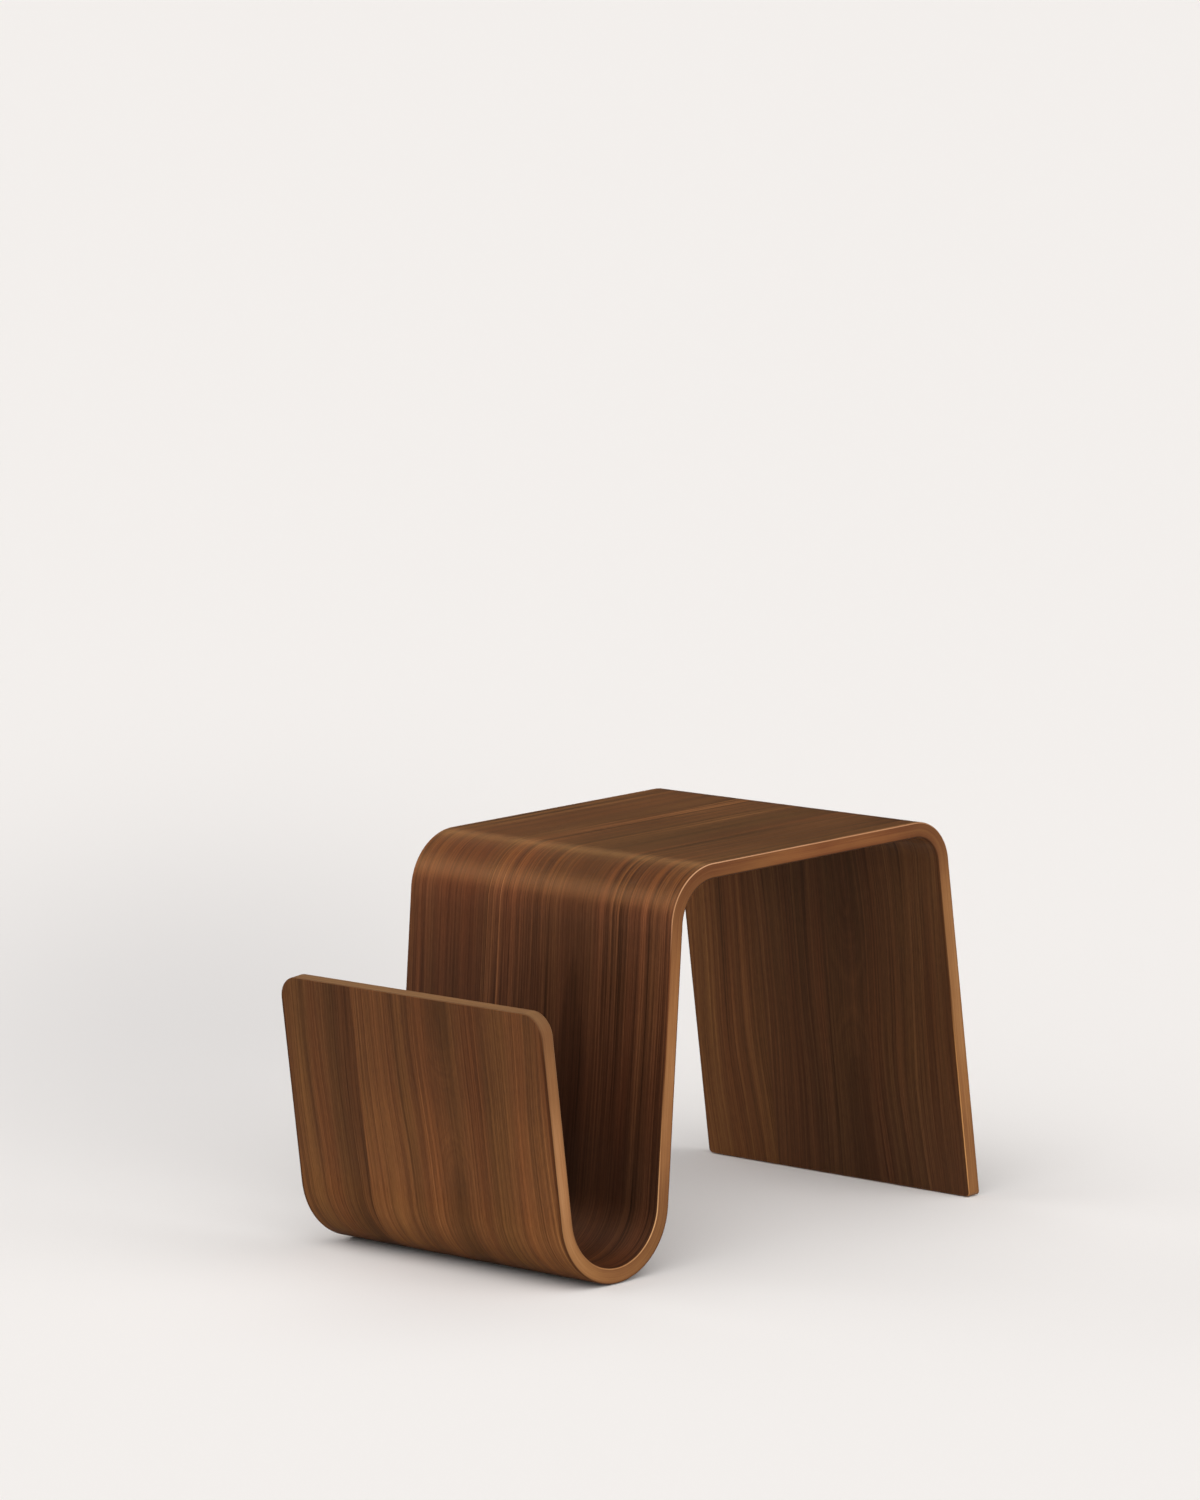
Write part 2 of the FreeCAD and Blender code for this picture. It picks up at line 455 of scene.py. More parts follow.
def walnut(name, seed, heart, tones, lengths, arris, flames=(), core=0.10, streak=1.0, drift=1.0, dark_tip=None,
           gain=(), figure=(), satin=(), margin=(), sheen=0.10):
    """Sliced walnut veneer. The grain runs along u, the ribbon's length.

    heart: Y of the leaf's heart line, where faint rings turn over in arches.
    tones: broad light and dark bands across the leaf, (Y in metres, 0..1).
    lengths: slow change of tone along the ribbon, partly painted light and shade, (u in metres, factor).
    arris: painted highlight and shade on the rounded arris along the ribbon, (u, colour).
    gain: where the lines stand out more, (u, factor). figure: the same
    across the leaf, (Y, factor). satin: where the
    lacquer is duller, (u, amount). margin: painted shade that darkens the
    face along its long sides, (u, amount). sheen: strength of the lacquer.
    flames: where along the ribbon the arches close, (u, height, reach).
    core: how dark the heart is. streak: contrast of the fine straight lines.
    dark_tip: where a dark flame in the heart ends, in metres along."""
    mat = bpy.data.materials.new(name)
    mat.use_nodes = True
    mat.node_tree.nodes.clear()
    N = Nodes(mat.node_tree)
    u, v = uv_of(N, "Ribbon")

    # slow sideways wander of the fibres
    w1 = N.noise(N.vec(N.mul(u, 2.3), N.mul(v, 5.0), seed + 0.31), detail=1.0)
    w2 = N.noise(N.vec(N.mul(u, 12.0), N.mul(v, 30.0), seed + 4.7), detail=1.0)
    vw = N.add(v, N.add(N.mul(N.sub(w1, 0.5), 0.050 * drift), N.mul(N.sub(w2, 0.5), 0.0026 * drift)))
    dv = N.sub(vw, heart)
    near = N.math("ABSOLUTE", dv)

    broad = N.noise(N.vec(N.mul(vw, 34.0), N.mul(u, 1.0), seed), detail=2.0)
    mid = N.noise(N.vec(N.mul(vw, 125.0), N.mul(u, 1.5), seed + 3.3), detail=3.0, rough=0.62)
    fine = N.noise(N.vec(N.mul(vw, 470.0), N.mul(u, 2.6), seed + 7.7), detail=3.0, rough=0.66)
    hair = N.noise(N.vec(N.mul(vw, 1900.0), N.mul(u, 14.0), seed + 5.1), detail=2.0)
    fleck = N.noise(N.vec(N.mul(vw, 800.0), N.mul(u, 120.0), seed + 6.6), detail=2.0)
    # thin dark late-wood lines, coming and going
    ring_n = N.noise(N.vec(N.mul(vw, 165.0), N.mul(u, 0.8), seed + 12.4), detail=1.0)
    ring = N.smooth(N.math("ABSOLUTE", N.sub(ring_n, 0.5)), 0.0, 0.032, 1.0, 0.0)
    ring_on = N.noise(N.vec(N.mul(vw, 50.0), N.mul(u, 3.6), seed + 21.0), detail=2.0)
    ring = N.mul(ring, N.smooth(ring_on, 0.40, 0.62))
    # thin pale lines
    glint_n = N.noise(N.vec(N.mul(vw, 300.0), N.mul(u, 1.3), seed + 17.9), detail=2.0)
    glint = N.smooth(glint_n, 0.58, 0.76)

    # faint arches over the heart
    d = 0.006
    for at, height, reach in flames:
        k = N.math("DIVIDE", N.sub(u, at), reach)
        bump = N.mul(N.math("EXPONENT", N.mul(N.mul(k, k), -1.0)), height)
        d = N.add(bump, d)
    jag = N.noise(N.vec(N.mul(u, 18.0), N.mul(v, 60.0), seed + 9.1), detail=3.0, rough=0.6)
    rho = N.math("SQRT", N.add(N.mul(dv, dv), N.mul(d, d)))
    rho = N.add(rho, N.mul(N.sub(jag, 0.5), 0.006))
    heartwood = N.smooth(near, 0.016, 0.042, 1.0, 0.0)
    arch_n = N.noise(N.vec(N.mul(rho, 190.0), N.mul(u, 0.9), seed + 27.0), detail=2.0, rough=0.6)
    arch = N.mul(N.sub(arch_n, 0.5), N.mul(heartwood, 0.34 if flames else 0.0))

    # broad bands of tone across the leaf, warped with the fibres
    lo_y, hi_y = -0.2, 0.2
    pos = N.math("DIVIDE", N.sub(vw, lo_y), hi_y - lo_y)
    band = N.ramp(pos, [((y - lo_y) / (hi_y - lo_y), t) for y, t in tones], "EASE")

    straight = N.mad(heartwood, -0.35 if flames else 0.0, streak)
    pos_u = N.math("DIVIDE", u, 1.6)
    if gain:
        straight = N.mul(straight, N.mul(N.ramp(pos_u, [(x / 1.6, f / 4.0) for x, f in gain], "EASE"), 4.0))
    if figure:
        across = N.ramp(pos, [((y - lo_y) / (hi_y - lo_y), f / 2.0) for y, f in figure], "EASE")
        straight = N.mul(straight, N.mul(across, 2.0))
    t = N.add(N.mul(N.sub(mid, 0.5), 0.50), N.mul(N.sub(fine, 0.5), 0.86))
    t = N.add(t, N.mul(N.sub(hair, 0.5), 0.16))
    t = N.add(t, N.mul(glint, 0.15))
    t = N.sub(t, N.mul(ring, 0.17))
    t = N.mul(t, straight)
    t = N.add(t, N.add(band, N.mul(N.sub(broad, 0.5), 0.24)))
    t = N.add(t, N.mul(N.sub(fleck, 0.5), 0.22))
    t = N.add(t, arch)
    if core:
        t = N.sub(t, N.smooth(rho, 0.010, 0.030, core, 0.0))
    if dark_tip:
        wide = N.mul(N.math("MINIMUM", N.math("MAXIMUM", N.sub(dark_tip, u), 0.0), 0.13), 0.20)
        t = N.sub(t, N.mul(N.smooth(N.sub(wide, N.add(near, N.mul(N.sub(jag, 0.5), 0.008))), -0.002, 0.008),
                           N.smooth(u, dark_tip - 0.25, dark_tip - 0.02, 0.06, 0.12)))

    col = N.ramp(t, [(0.0, WOOD[0]), (0.25, WOOD[1]), (0.50, WOOD[2]), (0.76, WOOD[3]), (1.0, WOOD[4])])
    # patches that lean red or olive
    hue = N.noise(N.vec(N.mul(vw, 26.0), N.mul(u, 1.7), seed + 31.0), detail=2.0)
    col = N.mix(N.smooth(hue, 0.45, 0.72), col, (1.04, 0.95, 0.93), "MULTIPLY")
    col = N.mix(N.smooth(hue, 0.55, 0.28), col, (0.97, 1.04, 0.98), "MULTIPLY")
    # painted light and shade along the ribbon, mixed with the wood's slow change of tone
    col = N.mix(1.0, col, N.ramp(pos_u, [(x / 1.6, f) for x, f in lengths], "EASE"), "MULTIPLY")

    # pores: short dark dashes along the grain
    pore_n = N.noise(N.vec(N.mul(u, 85.0), N.mul(vw, 1700.0), seed + 2.2), detail=1.0)
    pore_d = N.noise(N.vec(N.mul(vw, 60.0), N.mul(u, 6.0), seed + 14.0), detail=1.0)
    pore = N.mul(N.smooth(pore_n, 0.60, 0.74), N.smooth(pore_d, 0.35, 0.65, 0.35, 1.0))
    col = N.mix(N.mul(pore, 0.42), col, (0.022, 0.010, 0.006))

    # painted shade darkening the face along its long sides, where the round-over turns away from the light
    if margin:
        side = N.smooth(N.math("ABSOLUTE", v), 0.1935, 0.1962)
        side = N.mul(side, N.ramp(pos_u, [(x / 1.6, f) for x, f in margin], "EASE"))
        col = N.mix(side, col, (0.50, 0.46, 0.44), "MULTIPLY")

    # painted highlight and shade on the rounded arris, a fine line round the leaf
    round_a, off = uv_of(N, "Edge")
    line = N.smooth(N.math("ABSOLUTE", off), HALF - 0.0003, HALF - 0.0001, 1.0, 0.0)
    arris_line_noise = N.noise(N.vec(N.mul(round_a, 26.0), N.mul(off, 300.0), seed + 41.0), detail=2.0)
    line = N.mul(line, N.smooth(arris_line_noise, 0.30, 0.70, 0.62, 1.0))
    col = N.mix(line, col, N.ramp(pos_u, [(x / 1.6, c) for x, c in arris], "EASE"))

    b = shader(mat, N)
    N.put(b.inputs["Base Color"], col)
    rough = N.add(N.mad(N.sub(fine, 0.5), 0.10, 0.31), N.mul(pore, 0.12))
    if satin:
        rough = N.add(rough, N.ramp(pos_u, [(x / 1.6, f) for x, f in satin], "EASE"))
    N.put(b.inputs["Roughness"], rough)
    b.inputs["Specular IOR Level"].default_value = sheen
    b.inputs["Specular Tint"].default_value = rgba(LACQUER_TINT)
    height = N.add(N.add(N.mul(hair, 0.5), N.mul(fleck, 0.4)), N.mul(pore, -1.2))
    bump = N.new("ShaderNodeBump")
    bump.inputs["Strength"].default_value = 0.25
    bump.inputs["Distance"].default_value = 0.00012
    N.put(bump.inputs["Height"], height)
    N.put(b.inputs["Normal"], bump.outputs[0])
    return mat


# walnut tones, dark to pale
WOOD = [(0.022, 0.0079, 0.0030), (0.047, 0.0173, 0.0066), (0.088, 0.0320, 0.0118),
        (0.150, 0.0546, 0.0186), (0.250, 0.0977, 0.0325)]


# colour of the rounded arris along the ribbon: a painted highlight where it is pale and painted shade where it is
# dark, standing for the light on the round-over
SHOW_ARRIS_LIGHT_AND_SHADE = [(0.0, srgb(128, 92, 62)), (0.226, srgb(112, 74, 47)), (0.33, srgb(158, 112, 72)),
              (0.42, srgb(196, 148, 102)), (0.50, srgb(150, 105, 66)), (0.58, srgb(72, 37, 19)),
              (0.68, srgb(90, 50, 28)), (0.735, srgb(168, 122, 86)), (0.79, srgb(190, 144, 108)),
              (0.87, srgb(178, 132, 98)), (1.08, srgb(170, 124, 90)), (1.20, srgb(122, 82, 52)), (1.55, srgb(112, 76, 48))]
FLOOR_ARRIS_LIGHT_AND_SHADE = [(0.0, srgb(96, 65, 43)), (0.06, srgb(52, 30, 18)), (0.22, srgb(54, 31, 19)), (0.33, srgb(80, 50, 31)),
               (0.42, srgb(76, 46, 28)), (0.70, srgb(76, 46, 28)), (0.80, srgb(56, 34, 20)), (1.10, srgb(52, 31, 19)),
               (1.17, srgb(58, 34, 20)), (1.31, srgb(74, 45, 26)), (1.40, srgb(160, 112, 66)), (1.50, srgb(186, 134, 82)),
               (1.56, srgb(150, 104, 64))]


def ply_edge(name, seed, shade):
    """The sanded and lacquered edge of a core ply. Grain follows the outline."""
    mat = bpy.data.materials.new(name)
    mat.use_nodes = True
    mat.node_tree.nodes.clear()
    N = Nodes(mat.node_tree)
    a, w = uv_of(N, "Edge")
    warp = N.noise(N.vec(N.mul(a, 6.0), N.mul(w, 60.0), 2.0), detail=1.0)
    ww = N.add(w, N.mul(N.sub(warp, 0.5), 0.004))
    streak = N.noise(N.vec(N.mul(a, 5.0), N.mul(ww, 420.0), 5.5), detail=3.0, rough=0.6)
    thread = N.noise(N.vec(N.mul(a, 22.0), N.mul(ww, 1900.0), seed), detail=2.0, rough=0.6)
    cloud = N.noise(N.vec(N.mul(a, 14.0), N.mul(w, 40.0), 8.0), detail=2.0)
    # slow change of tone along the ribbon, darker round the bends
    pos = N.math("DIVIDE", a, 1.6)
    tone = N.ramp(pos, [(s / 1.6, t) for s, t in EDGE_TONE], "EASE")
    t = N.add(N.mul(N.sub(streak, 0.5), 0.55), N.mul(N.sub(thread, 0.5), 0.30))
    t = N.add(t, N.mul(N.sub(cloud, 0.5), 0.30))
    t = N.add(t, tone)
    col = N.ramp(t, [(0.0, srgb(84, 48, 28)), (0.35, srgb(112, 69, 42)), (0.6, srgb(136, 91, 54)), (1.0, srgb(164, 118, 76))])
    if shade != 1.0:
        col = N.mix(1.0, col, (shade, shade * 0.995, shade * 0.985), "MULTIPLY")
    col = N.mix(1.0, col, N.ramp(pos, [(s / 1.6, f) for s, f in EDGE_LENGTHS], "EASE"), "MULTIPLY")
    pore = N.smooth(N.noise(N.vec(N.mul(a, 160.0), N.mul(w, 2600.0), seed + 3.0), detail=1.0), 0.64, 0.78)
    col = N.mix(N.mul(pore, 0.22), col, (0.09, 0.045, 0.024))
    # painted highlight and shade on the rounded arrises of the outer plies, and a painted shade just inside them
    for sign, table in ((1.0, SHOW_ARRIS_LIGHT_AND_SHADE), (-1.0, FLOOR_ARRIS_LIGHT_AND_SHADE)):
        out = N.mul(w, sign)
        col = N.mix(N.smooth(out, HALF - 0.0030, HALF - 0.0020, 0.0, 0.60), col, (0.74, 0.72, 0.70), "MULTIPLY")
        col = N.mix(N.smooth(out, HALF - 0.0017, HALF - 0.0011, 0.0, 0.90), col,
                    N.ramp(pos, [(s / 1.6, c) for s, c in table], "EASE"))
    b = shader(mat, N)
    N.put(b.inputs["Base Color"], col)
    N.put(b.inputs["Roughness"], N.mad(N.sub(thread, 0.5), 0.12, 0.46))
    b.inputs["Specular IOR Level"].default_value = 0.10
    b.inputs["Specular Tint"].default_value = rgba(LACQUER_TINT)
    bump = N.new("ShaderNodeBump")
    bump.inputs["Strength"].default_value = 0.2
    bump.inputs["Distance"].default_value = 0.0001
    N.put(bump.inputs["Height"], N.add(thread, N.mul(pore, -0.8)))
    N.put(b.inputs["Normal"], bump.outputs[0])
    return mat


# (length along the ribbon in metres, tone 0..1)
EDGE_TONE = [(0.02, 0.50), (0.16, 0.68), (0.24, 0.66), (0.33, 0.50), (0.40, 0.44), (0.56, 0.66),
             (0.68, 0.55), (0.775, 0.36), (0.93, 0.48), (1.13, 0.38), (1.23, 0.62), (1.34, 0.70), (1.50, 0.55)]

# (length along the ribbon in metres, factor that darkens or lightens the edge)
EDGE_LENGTHS = [(0.0, (0.84, 1.03, 1.27)), (0.03, (0.82, 0.90, 1.02)), (0.08, (0.92, 0.99, 1.11)), (0.17, (1.12, 1.20, 1.36)),
                (0.31, (1.00, 1.08, 1.10)), (0.40, (0.84, 0.90, 0.90)), (0.50, (0.98, 1.02, 1.08)),
                (0.66, (0.98, 1.00, 1.02)), (0.77, 0.76), (0.86, (0.76, 0.74, 0.73)), (0.94, (0.87, 0.81, 0.79)),
                (1.06, (0.84, 0.79, 0.77)), (1.13, (0.72, 0.72, 0.72)), (1.22, (0.93, 0.99, 1.04)),
                (1.32, (0.95, 1.02, 1.07)), (1.42, (0.96, 1.00, 1.02)), (1.51, (0.88, 0.92, 0.95))]

# broad tones across the leaves: (Y in metres, tone 0..1)
WIDE_TONES = [(-0.198, 0.63), (-0.155, 0.66), (-0.130, 0.555), (-0.095, 0.565), (-0.060, 0.525),
              (-0.020, 0.55), (0.020, 0.555), (0.050, 0.615), (0.084, 0.67)]
NARROW_TONES = [(0.080, 0.40), (0.105, 0.42), (0.130, 0.48), (0.160, 0.59), (0.198, 0.63)]
SHOW_WIDE_TONES = [(-0.198, 0.48), (-0.165, 0.50), (-0.125, 0.47), (-0.095, 0.54), (-0.060, 0.40),
                   (-0.030, 0.44), (-0.005, 0.55), (0.020, 0.53), (0.055, 0.61), (0.084, 0.61)]
SHOW_NARROW_TONES = [(0.080, 0.51), (0.110, 0.50), (0.150, 0.52), (0.175, 0.57), (0.198, 0.54)]

FLOOR_FLAMES = [(0.118, 0.030, 0.060), (0.520, 0.024, 0.090), (0.900, 0.030, 0.080), (1.335, 0.030, 0.070)]
# Tone factors along the ribbon, (u in metres, factor). They are partly painted light and shade: the show side darkens
# down the riser into the pocket and lightens over the top bend, and the floor side lightens low on the rack and round
# the bottom of the U bend.
FLOOR_TONE_AND_SHADE = [(0.0, (0.93, 0.96, 0.96)), (0.08, (0.96, 0.99, 0.99)), (0.15, (1.17, 1.22, 1.16)),
                 (0.215, (1.25, 1.31, 1.26)), (0.245, (1.42, 1.56, 1.48)), (0.275, (1.20, 1.30, 1.12)), (0.305, (0.62, 0.62, 0.50)),
                 (0.40, 0.75), (0.60, 0.85), (1.0, (0.87, 0.91, 0.95)), (1.20, (0.88, 1.01, 1.14)),
                 (1.35, (0.77, 0.85, 0.96)), (1.55, (0.67, 0.77, 0.96))]
NARROW_TONE_AND_SHADE = [(0.0, (0.95, 1.01, 1.00)), (0.15, (1.09, 1.16, 1.13)), (0.24, (1.30, 1.42, 1.36)), (0.275, (1.17, 1.27, 1.10)),
                  (0.305, (0.62, 0.62, 0.50)), (0.40, 0.75), (0.60, 0.88), (1.0, (1.0, 1.04, 1.06)),
                  (1.20, (1.38, 1.49, 1.52)), (1.35, (1.46, 1.58, 1.60)), (1.55, (1.34, 1.46, 1.50))]
SHOW_TONE_AND_SHADE = [(0.0, 0.85), (0.25, (0.66, 0.62, 0.66)), (0.34, (0.66, 0.60, 0.64)), (0.45, (0.52, 0.54, 0.72)),
                (0.55, (0.63, 0.61, 0.76)), (0.64, (0.80, 0.79, 0.96)), (0.70, (0.92, 0.89, 1.05)),
                (0.736, (1.22, 1.18, 1.46)), (0.748, (1.02, 0.95, 0.88)), (0.772, (1.17, 1.03, 0.74)),
                (0.790, (1.14, 1.12, 1.06)), (0.808, (1.22, 1.26, 1.28)), (0.86, (1.16, 1.22, 1.26)),
                (0.95, (1.10, 1.14, 1.16)), (1.05, (1.25, 1.32, 1.34)), (1.15, 1.10), (1.55, 0.95)]
SHOW_GAIN = [(0.0, 1.0), (0.80, 1.0), (0.88, 1.35), (1.12, 1.35), (1.18, 1.0)]
SHOW_FIGURE = [(-0.198, 0.95), (-0.165, 1.15), (-0.130, 1.0), (-0.100, 1.1), (-0.080, 0.55), (-0.035, 0.50), (-0.012, 1.0),
               (0.010, 0.85), (0.035, 0.95), (0.048, 1.35), (0.083, 1.35)]
NARROW_FIGURE = [(0.084, 0.75), (0.100, 0.50), (0.130, 0.62), (0.160, 0.50), (0.176, 1.20), (0.198, 1.05)]
SHOW_SATIN = [(0.20, 0.0), (0.27, 0.26), (0.42, 0.26), (0.52, 0.0)]
FLOOR_SATIN = [(0.18, 0.0), (0.235, 0.34), (0.36, 0.34), (0.46, 0.0)]
# painted shade along the floor-side faces' long sides, (u in metres, amount)
FLOOR_EDGE_SHADE = [(0.0, 0.5), (0.05, 0.95), (0.26, 0.9), (0.36, 0.6), (1.10, 0.5), (1.25, 0.45), (1.55, 0.35)]
MATS = {
    "floor_wide": walnut("walnut_floor_side_wide", 11.0, -0.050, WIDE_TONES, FLOOR_TONE_AND_SHADE, FLOOR_ARRIS_LIGHT_AND_SHADE,
                         FLOOR_FLAMES, satin=FLOOR_SATIN, margin=FLOOR_EDGE_SHADE, sheen=0.06),
    "floor_narrow": walnut("walnut_floor_side_narrow", 37.0, 0.050, NARROW_TONES, NARROW_TONE_AND_SHADE, FLOOR_ARRIS_LIGHT_AND_SHADE,
                           core=0.0, satin=FLOOR_SATIN, margin=FLOOR_EDGE_SHADE, sheen=0.06),
    "show_wide": walnut("walnut_show_side_wide", 53.0, -0.052, SHOW_WIDE_TONES, SHOW_TONE_AND_SHADE, SHOW_ARRIS_LIGHT_AND_SHADE,
                        core=0.0, streak=1.5, drift=0.35, dark_tip=0.70, gain=SHOW_GAIN, figure=SHOW_FIGURE,
                        satin=SHOW_SATIN),
    "show_narrow": walnut("walnut_show_side_narrow", 71.0, 0.045, SHOW_NARROW_TONES, SHOW_TONE_AND_SHADE, SHOW_ARRIS_LIGHT_AND_SHADE,
                          core=0.0, streak=1.4, drift=0.35, gain=SHOW_GAIN, figure=NARROW_FIGURE,
                          satin=SHOW_SATIN),
}
CROSS = ply_edge("ply_edge_cross_grain", 5.0, 0.985)
LONG = ply_edge("ply_edge_long_grain", 9.0, 1.015)


# --------------------------------------------------------------- the pieces
def finish_piece(ob, mat, node):
    ob.data.materials.append(mat)
    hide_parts(node)
    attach(ob, "root")
    return ob


def round_levels(off_from, off_to, n):
    """Side offsets through the round-over, spaced by equal angle."""
    a0 = math.asin(min(1.0, (abs(off_from) - (HALF - ARRIS)) / ARRIS))
    a1 = math.asin(max(0.0, (abs(off_to) - (HALF - ARRIS)) / ARRIS))
    sign = math.copysign(1.0, off_from)
    return [sign * (HALF - ARRIS + ARRIS * math.sin(a)) for a in np.linspace(a0, a1, n)]


pieces = []
skin = HALF - VENEER
for part, side, lo_y, hi_y, cols in (
        ("wide", "show", None, SPLICE_SHOW, 16), ("narrow", "show", SPLICE_SHOW, None, 8),
        ("wide", "floor", None, SPLICE_FLOOR, 16), ("narrow", "floor", SPLICE_FLOOR, None, 8)):
    if side == "show":
        levels = round_levels(HALF, skin, 5)
        ob = layer_mesh("leaf_show_side_" + part, HALF, skin, lo_y, hi_y, cols, levels)
    else:
        levels = round_levels(-HALF, -skin, 5)[::-1]
        ob = layer_mesh("leaf_floor_side_" + part, -skin, -HALF, lo_y, hi_y, cols, levels)
    pieces.append(finish_piece(ob, MATS[side + "_" + part],
                               "veneer_%s_side_%s_leaf" % (side, part)))

for i in range(PLIES):
    top = skin - i * PLY
    bottom = top - PLY
    levels = [top, bottom]
    if i == 0:
        levels = round_levels(top, HALF - ARRIS, 4) + [bottom]
    elif i == PLIES - 1:
        levels = [top] + round_levels(-(HALF - ARRIS) - 1e-12, bottom, 4)
        levels = [top] + [-(x) for x in reversed(round_levels(-bottom, HALF - ARRIS, 4))]
    kind = "cross" if i % 2 == 0 else "long"
    ob = layer_mesh("ply_layer_%02d" % (i + 1), top, bottom, None, None, 8, levels)
    finish_piece(ob, CROSS if kind == "cross" else LONG,
                 "ply_%02d_%s_grain" % (i + 1, kind))
    pieces.append(ob)


def nylon():
    mat = bpy.data.materials.new("glide_nylon")
    mat.use_nodes = True
    mat.node_tree.nodes.clear()
    N = Nodes(mat.node_tree)
    g = N.new("ShaderNodeTexCoord").outputs["Object"]
    n1 = N.noise(g, detail=3.0, scale=900.0)
    n2 = N.noise(g, detail=1.0, scale=60.0)
    col = N.ramp(N.add(N.mul(n1, 0.5), N.mul(n2, 0.5)), [(0.3, srgb(36, 27, 22)), (0.7, srgb(58, 45, 37))])
    b = shader(mat, N)
    N.put(b.inputs["Base Color"], col)
    N.put(b.inputs["Roughness"], N.mad(n1, 0.2, 0.5))
    b.inputs["Specular IOR Level"].default_value = 0.4
    bump = N.new("ShaderNodeBump")
    bump.inputs["Strength"].default_value = 0.3
    bump.inputs["Distance"].default_value = 0.0001
    N.put(bump.inputs["Height"], n1)
    N.put(b.inputs["Normal"], bump.outputs[0])
    return mat


NYLON = nylon()
for name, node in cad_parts.items():
    if name.startswith("glide_"):
        node.data.materials.clear()
        node.data.materials.append(NYLON)


# ------------------------------------------------------- floor, light, camera
def make_floor():
    me = bpy.data.meshes.new("floor")
    r = 90.0
    me.from_pydata([(-r, -r, 0), (r, -r, 0), (r, r, 0), (-r, r, 0)], [], [(0, 1, 2, 3)])
    ob = bpy.data.objects.new("floor", me)
    bpy.context.scene.collection.objects.link(ob)
    mat = bpy.data.materials.new("floor_paper")
    mat.use_nodes = True
    mat.node_tree.nodes.clear()
    N = Nodes(mat.node_tree)
    g = N.new("ShaderNodeTexCoord").outputs["Object"]
    n = N.noise(g, detail=2.0, scale=300.0)
    col = N.ramp(n, [(0.3, FLOOR_A), (0.7, FLOOR_B)])
    # painted shadows on the floor behind and in front of the rack and under the foot, and a painted pool of light
    # beside the foot
    x, y, z = N.split(g)
    for cx, cy, ex, ey, far, near_, wide, painted_factor in FLOOR_PAINTED_LIGHT_AND_SHADOW:
        dx, dy = N.sub(x, cx), N.sub(y, cy)
        p = N.add(N.mul(dx, ex), N.mul(dy, ey))
        q = N.sub(N.mul(dy, ex), N.mul(dx, ey))
        pf = N.math("DIVIDE", N.math("MAXIMUM", p, 0.0), far)
        pn = N.math("DIVIDE", N.math("MINIMUM", p, 0.0), near_)
        q = N.math("DIVIDE", q, wide)
        k = N.add(N.add(N.mul(pf, pf), N.mul(pn, pn)), N.mul(q, q))
        col = N.mix(N.math("EXPONENT", N.mul(k, -0.5)), col, painted_factor, "MULTIPLY")
    b = shader(mat, N)
    N.put(b.inputs["Base Color"], col)
    b.inputs["Roughness"].default_value = 0.9
    b.inputs["Specular IOR Level"].default_value = 0.0
    me.materials.append(mat)
    return ob


# painted shadows and light on the floor: (centre x, y, direction x, y, reach beyond, reach before, half width,
# factor)
FLOOR_PAINTED_LIGHT_AND_SHADOW = [(0.532, 1.275, 0.661, 0.751, 0.955, 0.607, 0.330, (0.838, 0.840, 0.848)),
               (0.335, -0.430, 0.738, 0.675, 0.330, 0.300, 0.125, (1.080, 1.080, 1.080)),
               (-0.380, -0.117, 0.681, 0.732, 0.150, 0.140, 0.120, (0.900, 0.895, 0.895)),
               (0.260, -0.110, 0.719, 0.695, 0.130, 0.130, 0.070, (0.925, 0.925, 0.925))]
FLOOR_A = (0.876, 0.844, 0.820)
FLOOR_B = (0.884, 0.852, 0.828)
make_floor()


# The studio: radiance by elevation, then by azimuth anticlockwise from +X,
# both in degrees. A big soft light low in front, a strip behind, a soft top.
STUDIO = [
    (5, [(0, 0.0), (90, 0.0), (135, 0.0), (180, 2.0), (225, 1.2), (270, 2.8), (315, 0.0)]),
    (16, [(0, 0.0), (90, 0.2), (135, 0.1), (180, 1.2), (225, 2.4), (270, 7.4), (315, 0.0)]),
    (22, [(0, 0.0), (45, 0.1), (90, 1.2), (135, 1.0), (180, 1.3), (225, 1.6), (270, 5.8), (315, 0.0)]),
    (25, [(0, 0.0), (45, 0.1), (62, 0.4), (84, 5.6), (110, 6.6), (140, 6.0), (160, 1.8), (180, 1.4),
          (225, 1.6), (270, 5.4), (315, 0.1)]),
    (31, [(0, 0.0), (45, 0.1), (62, 0.3), (84, 4.8), (110, 6.0), (140, 5.4), (160, 1.8), (180, 1.4),
          (225, 2.1), (270, 4.5), (315, 0.1)]),
    (36, [(0, 0.0), (45, 0.0), (90, 0.6), (135, 0.5), (180, 1.3), (225, 2.6), (270, 3.4), (315, 0.0)]),
    (58, [(0, 0.0), (45, 0.0), (90, 0.2), (135, 1.2), (180, 2.2), (225, 2.6), (270, 2.9), (315, 1.4)]),
    (85, [(0, 0.9), (90, 0.9), (180, 0.9), (270, 0.9)]),
]
STUDIO_GAIN = 0.951


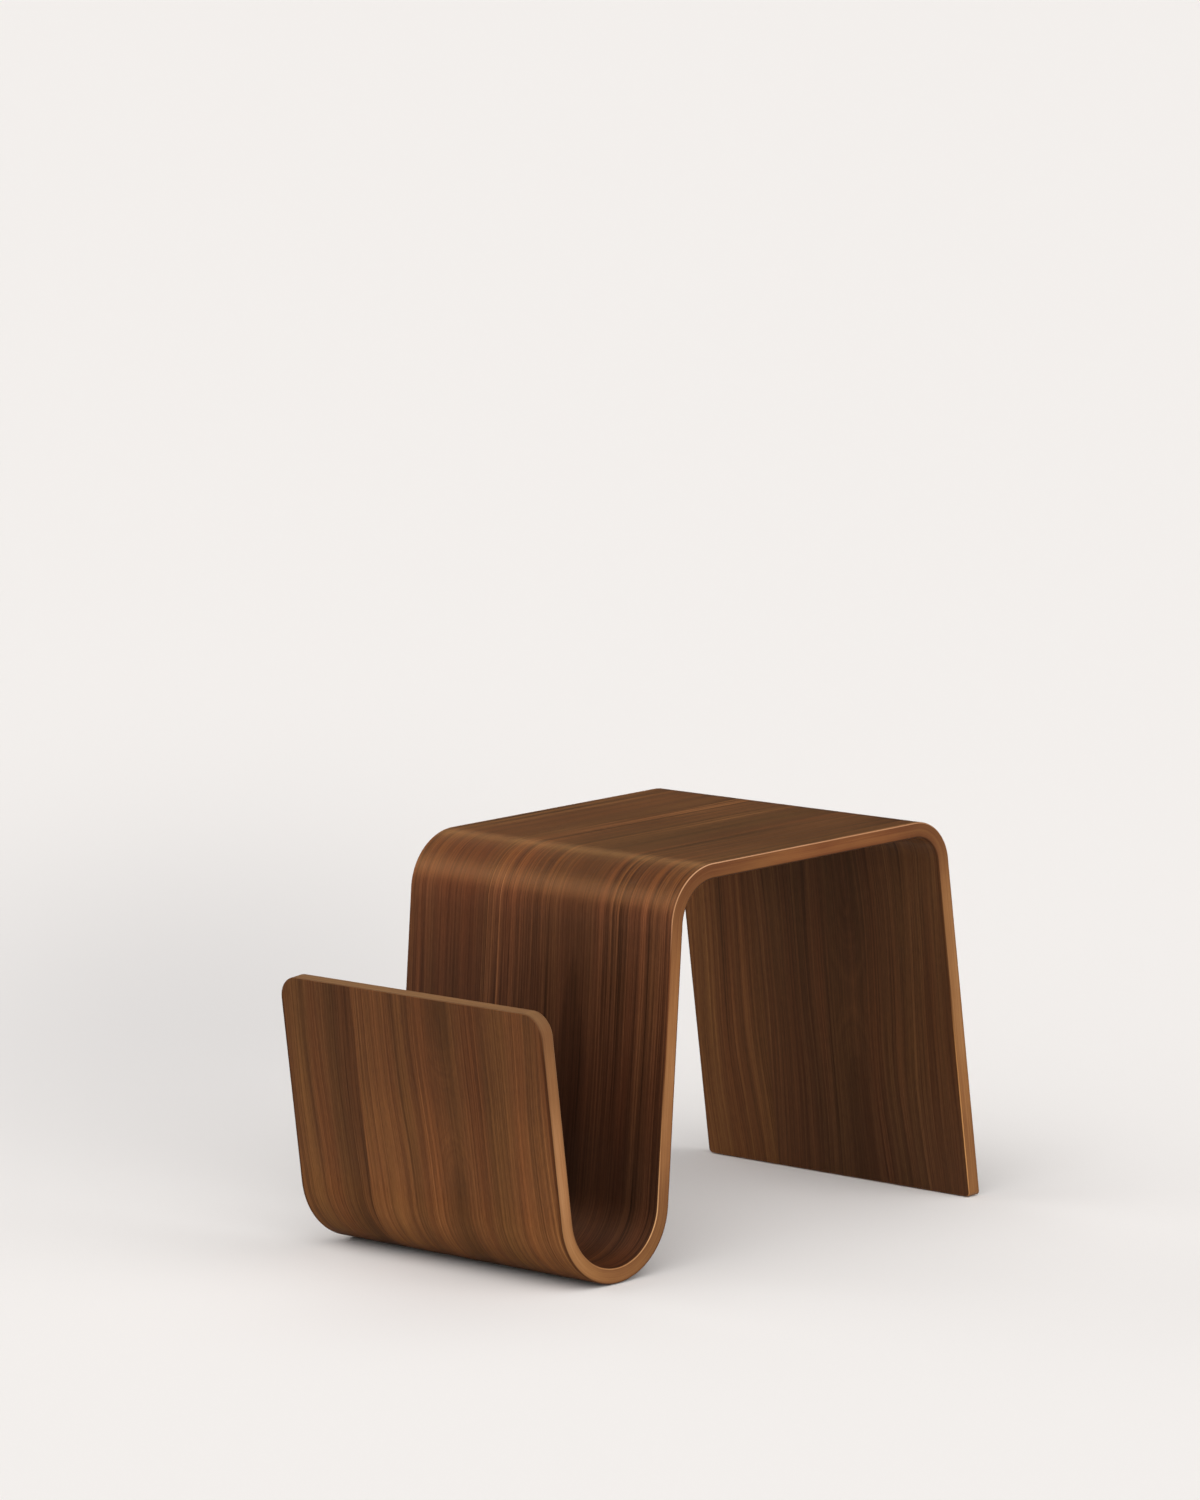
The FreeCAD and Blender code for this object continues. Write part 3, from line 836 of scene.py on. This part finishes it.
def make_world():
    w = bpy.data.worlds.new("studio")
    bpy.context.scene.world = w
    w.use_nodes = True
    w.node_tree.nodes.clear()
    N = Nodes(w.node_tree)
    g = N.new("ShaderNodeTexCoord").outputs["Generated"]
    s = N.new("ShaderNodeSeparateXYZ")
    w.node_tree.links.new(g, s.inputs[0])
    x, y, z = s.outputs
    elev = N.math("DEGREES", N.math("ARCSINE", N.math("MAXIMUM", N.math("MINIMUM", z, 1.0), -1.0)))
    turn = N.mad(N.math("ARCTAN2", y, x), 0.5 / math.pi, 0.5)
    marks = [-8.0] + [e for e, _ in STUDIO] + [125.0]
    total = None
    for i, (e, ring) in enumerate(STUDIO):
        top = max(r for _, r in ring)
        if top <= 0.0:
            continue
        pts = sorted(((a + 180) % 360 / 360.0, r / top) for a, r in ring)
        pts.append((1.0, pts[0][1]))
        radiance = N.mul(N.ramp(turn, pts), top)
        up = N.math("DIVIDE", N.sub(elev, marks[i]), e - marks[i])
        down = N.math("DIVIDE", N.sub(marks[i + 2], elev), marks[i + 2] - e)
        tent = N.math("MAXIMUM", N.math("MINIMUM", up, down), 0.0)
        part = N.mul(tent, radiance)
        total = part if total is None else N.add(total, part)
    bg = N.new("ShaderNodeBackground")
    N.put(bg.inputs["Strength"], N.mul(total, STUDIO_GAIN))
    pale = N.new("ShaderNodeBackground")
    pale.inputs["Color"].default_value = rgba(srgb(243, 239, 236))
    pale.inputs["Strength"].default_value = 1.0
    path_node = N.new("ShaderNodeLightPath")
    mix = N.new("ShaderNodeMixShader")
    w.node_tree.links.new(path_node.outputs["Is Camera Ray"], mix.inputs[0])
    w.node_tree.links.new(bg.outputs[0], mix.inputs[1])
    w.node_tree.links.new(pale.outputs[0], mix.inputs[2])
    out = N.new("ShaderNodeOutputWorld")
    w.node_tree.links.new(mix.outputs[0], out.inputs[0])


make_world()


def strip(name, azimuth, elevation, width, height, radiance, colour):
    """A long warm reflector card, seen only as a highlight in the lacquer."""
    l = bpy.data.lights.new(name, "AREA")
    l.shape = "RECTANGLE"
    l.size, l.size_y = width, height
    l.energy = radiance * math.pi * width * height
    l.color = colour
    ob = bpy.data.objects.new(name, l)
    az, el = math.radians(azimuth), math.radians(elevation)
    d = Vector((math.cos(az) * math.cos(el), math.sin(az) * math.cos(el), math.sin(el)))
    ob.location = d * 7.0
    ob.rotation_mode = "QUATERNION"
    ob.rotation_quaternion = d.to_track_quat("Z", "Y")
    ob.visible_diffuse = False
    ob.visible_camera = False
    bpy.context.scene.collection.objects.link(ob)
    return ob


strip("card_left", 124, 31, 5.0, 2.4, 6.6, (1.0, 0.60, 0.18))
strip("card_back", 56, 31, 4.0, 1.0, 3.2, (1.0, 0.56, 0.20))


CAM_AT = (-6.11501598, -6.27936684, 1.88398762)
CAM_RIGHT = Vector((0.71442742, -0.69896534, -0.03226324))
CAM_UP = Vector((0.1309045, 0.08822045, 0.98746198))
cam = bpy.data.cameras.new("camera")
cam.sensor_fit = "AUTO"
cam.sensor_width = 36.0
cam.lens = 200.7612
cam.clip_start = 0.1
cam.clip_end = 400.0
cam_ob = bpy.data.objects.new("camera", cam)
right = CAM_RIGHT.normalized()
back = right.cross(CAM_UP).normalized()
up = back.cross(right).normalized()
cam_ob.matrix_world = Matrix((
    (right.x, up.x, back.x, CAM_AT[0]),
    (right.y, up.y, back.y, CAM_AT[1]),
    (right.z, up.z, back.z, CAM_AT[2]),
    (0, 0, 0, 1)))
bpy.context.scene.collection.objects.link(cam_ob)
bpy.context.scene.camera = cam_ob
bpy.context.scene.view_settings.view_transform = "Standard"
bpy.context.scene.view_settings.look = "None"

bpy.context.view_layer.update()
